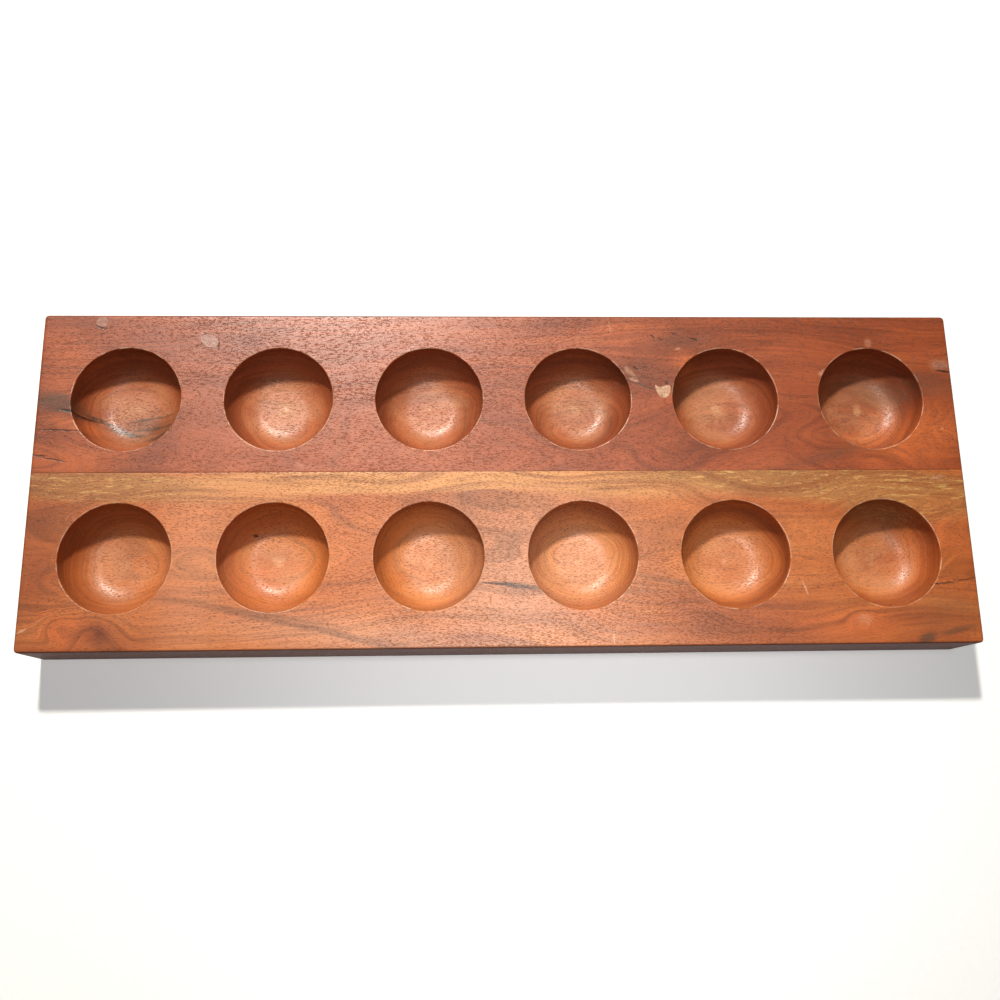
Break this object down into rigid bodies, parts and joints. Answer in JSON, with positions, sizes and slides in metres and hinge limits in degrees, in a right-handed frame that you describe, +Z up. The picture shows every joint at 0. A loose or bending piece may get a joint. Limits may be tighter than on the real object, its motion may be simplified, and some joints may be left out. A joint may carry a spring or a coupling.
{
  "type": "mancala board",
  "caption": "Rectangular wooden mancala board made of edge-glued planks, with paired rows of round flat-bottomed playing pits in its top face.",
  "frame": {"origin": "centre of the board's underside", "axes": "+X along the board's length, +Y towards the rear row of pits, +Z up out of the pits' mouths"},
  "size_m": [0.432, 0.1588, 0.032],
  "materials": {
    "rear_wood": "satin lacquer",
    "front_wood": "satin lacquer",
    "glue": "matt",
    "filler": "satin lacquer"
  },
  "bodies": {
    "root": {"rear_plank": "rear_wood", "front_plank": "front_wood", "glue_line": "glue", "knot_fill_corner": "filler", "knot_fill_rear": "filler", "knot_fill_bridge": "filler", "knot_fill_end": "filler"}
  },
  "joints": []
}
